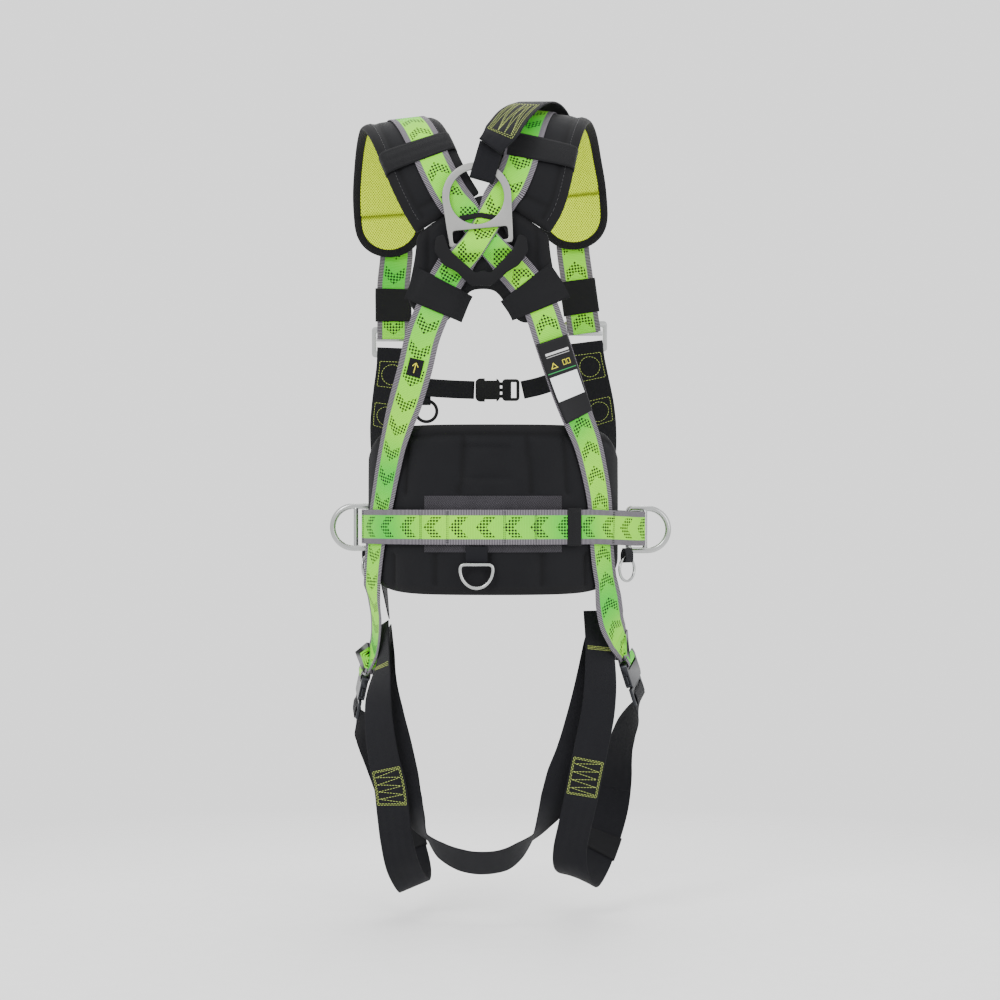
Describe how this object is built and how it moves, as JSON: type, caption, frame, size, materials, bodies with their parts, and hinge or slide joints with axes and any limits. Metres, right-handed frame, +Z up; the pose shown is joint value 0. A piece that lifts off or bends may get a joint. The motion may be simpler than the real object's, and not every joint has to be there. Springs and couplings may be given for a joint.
{
  "type": "full body work positioning harness",
  "caption": "Full-body climbing harness with padded yoke, dorsal and side rings, lumbar belt and leg loops, held in its worn shape.",
  "frame": {"origin": "on the body-side face of the yoke pad, between the shoulder blades, just below the dorsal ring", "axes": "+X towards the wearer's right, +Y towards the wearer's front, +Z up"},
  "size_m": [0.455, 0.2849, 1.0523],
  "materials": {
    "webbing_lime": "woven polyester webbing in lime and green with purple-grey edges and dark chevrons",
    "webbing_black": "woven black polyester webbing",
    "padding": "black padded fabric, lime spacer mesh on the shoulders",
    "plastic_black": "moulded, fine grained",
    "steel_satin": "satin plated steel",
    "steel_dark": "dark coated steel with a soft sheen"
  },
  "bodies": {
    "harness": {"main_strap_left": "webbing_lime", "main_strap_right": "webbing_lime", "belt_webbing_rear": "webbing_lime", "belt_webbing_front_left": "webbing_lime", "belt_webbing_front_right": "webbing_lime", "shoulder_band_left": "webbing_black", "shoulder_band_right": "webbing_black", "yoke_band_left": "webbing_black", "yoke_band_right": "webbing_black", "extension_strap": "webbing_black", "front_keeper_left": "webbing_black", "front_keeper_right": "webbing_black", "front_strap_left": "webbing_black", "front_strap_right": "webbing_black", "sternal_loop_left": "webbing_black", "sternal_loop_right": "webbing_black", "chest_strap_left": "webbing_black", "chest_strap_right": "webbing_black", "parking_ring_tab": "webbing_black", "lumbar_ribbed_band": "webbing_black", "belt_keeper": "webbing_black", "tool_ring_strap": "webbing_black", "hip_ring_loop_left": "webbing_black", "hip_ring_loop_right": "webbing_black", "leg_strap_left": "webbing_black", "leg_strap_right": "webbing_black", "sub_pelvic_strap": "webbing_black", "label_packet": "webbing_black", "yoke_pad": "padding", "shoulder_pad_left": "padding", "shoulder_pad_right": "padding", "lumbar_pad": "padding", "back_plate": "plastic_black", "chest_buckle_socket": "plastic_black", "adjuster_frame_left": "steel_satin", "adjuster_frame_right": "steel_satin", "leg_left_buckle_receiver": "steel_dark", "leg_right_buckle_receiver": "steel_dark", "belt_buckle_receiver": "steel_dark"},
    "dorsal_ring": {"dorsal_d_ring": "steel_satin", "extension_strap_loop": "webbing_black"},
    "side_ring_left": {"side_d_ring_left": "steel_satin"},
    "side_ring_right": {"side_d_ring_right": "steel_satin"},
    "tool_ring": {"tool_d_ring": "steel_satin"},
    "hip_ring_l": {"hip_ring_left": "steel_satin"},
    "hip_ring_r": {"hip_ring_right": "steel_satin"},
    "parking": {"parking_ring": "plastic_black"},
    "chest_plug": {"chest_buckle_plug": "plastic_black"},
    "leg_left_tongue": {"leg_left_buckle_tongue": "steel_dark"},
    "leg_left_lever_front": {"leg_left_buckle_lever_front": "steel_dark"},
    "leg_left_lever_rear": {"leg_left_buckle_lever_rear": "steel_dark"},
    "leg_right_tongue": {"leg_right_buckle_tongue": "steel_dark"},
    "leg_right_lever_front": {"leg_right_buckle_lever_front": "steel_dark"},
    "leg_right_lever_rear": {"leg_right_buckle_lever_rear": "steel_dark"},
    "belt_tongue": {"belt_buckle_tongue": "steel_dark"},
    "belt_lever_front": {"belt_buckle_lever_front": "steel_dark"},
    "belt_lever_rear": {"belt_buckle_lever_rear": "steel_dark"},
    "adjuster_left": {"adjuster_bar_left": "steel_satin"},
    "adjuster_right": {"adjuster_bar_right": "steel_satin"}
  },
  "joints": [
    {"name": "dorsal_ring_swing", "type": "hinge", "parent": "harness", "child": "dorsal_ring", "pos_m": [-0.002, -0.0199, 0.023], "axis": [0.9952, 0, 0.0976], "range_deg": [0, 80]},
    {"name": "side_ring_left_swing", "type": "hinge", "parent": "harness", "child": "side_ring_left", "pos_m": [-0.159, 0.113, -0.342], "axis": [0, 0, 1], "range_deg": [-40, 20]},
    {"name": "side_ring_right_swing", "type": "hinge", "parent": "harness", "child": "side_ring_right", "pos_m": [0.204, 0.109, -0.345], "axis": [0, 0, 1], "range_deg": [-40, 40]},
    {"name": "tool_ring_swing", "type": "hinge", "parent": "harness", "child": "tool_ring", "pos_m": [-0.008, -0.023, -0.389], "axis": [1, 0, 0], "range_deg": [-100, 0]},
    {"name": "hip_ring_left_swing", "type": "hinge", "parent": "harness", "child": "hip_ring_l", "pos_m": [-0.1555, 0.13, -0.3795], "axis": [0.3746, 0.9272, 0], "range_deg": [0, 35]},
    {"name": "hip_ring_right_swing", "type": "hinge", "parent": "harness", "child": "hip_ring_r", "pos_m": [0.189, 0.066, -0.3815], "axis": [0.6561, 0.7547, 0], "range_deg": [-35, 0]},
    {"name": "parking_ring_swing", "type": "hinge", "parent": "harness", "child": "parking", "pos_m": [-0.08, 0.246, -0.1685], "axis": [1, 0, 0], "range_deg": [0, 45]},
    {"name": "chest_buckle_release", "type": "slide", "parent": "harness", "child": "chest_plug", "axis": [1, 0, 0], "range_m": [0, 0.025], "deforming": ["chest_strap_right"]},
    {"name": "leg_left_buckle_release", "type": "slide", "parent": "harness", "child": "leg_left_tongue", "axis": [-0.2197, 0.1798, -0.9589], "range_m": [0, 0.03], "deforming": ["leg_strap_left"]},
    {"name": "leg_left_lever_front_press", "type": "slide", "parent": "harness", "child": "leg_left_lever_front", "axis": [-0.0974, 0.9739, 0.2049], "range_m": [0, 0.0012], "stiffness_N_per_m": 300, "springref_m": -0.002},
    {"name": "leg_left_lever_rear_press", "type": "slide", "parent": "harness", "child": "leg_left_lever_rear", "axis": [0.0974, -0.9739, -0.2049], "range_m": [0, 0.0012], "stiffness_N_per_m": 300, "springref_m": -0.002},
    {"name": "leg_right_buckle_release", "type": "slide", "parent": "harness", "child": "leg_right_tongue", "axis": [0.2995, 0.2196, -0.9285], "range_m": [0, 0.03], "deforming": ["leg_strap_right"]},
    {"name": "leg_right_lever_front_press", "type": "slide", "parent": "harness", "child": "leg_right_lever_front", "axis": [-0.243, -0.9235, -0.2969], "range_m": [0, 0.0012], "stiffness_N_per_m": 300, "springref_m": -0.002},
    {"name": "leg_right_lever_rear_press", "type": "slide", "parent": "harness", "child": "leg_right_lever_rear", "axis": [0.243, 0.9235, 0.2969], "range_m": [0, 0.0012], "stiffness_N_per_m": 300, "springref_m": -0.002},
    {"name": "belt_buckle_release", "type": "slide", "parent": "harness", "child": "belt_tongue", "axis": [-1, 0, 0], "range_m": [0, 0.03], "deforming": ["belt_webbing_front_left"]},
    {"name": "belt_lever_front_press", "type": "slide", "parent": "harness", "child": "belt_lever_front", "axis": [0, 0, -1], "range_m": [0, 0.0012], "stiffness_N_per_m": 300, "springref_m": -0.002},
    {"name": "belt_lever_rear_press", "type": "slide", "parent": "harness", "child": "belt_lever_rear", "axis": [0, 0, 1], "range_m": [0, 0.0012], "stiffness_N_per_m": 300, "springref_m": -0.002},
    {"name": "adjuster_left_slide", "type": "slide", "parent": "harness", "child": "adjuster_left", "axis": [0, 0, 1], "range_m": [-0.012, 0.005]},
    {"name": "adjuster_right_slide", "type": "slide", "parent": "harness", "child": "adjuster_right", "axis": [0, 0, 1], "range_m": [-0.012, 0.005]}
  ]
}
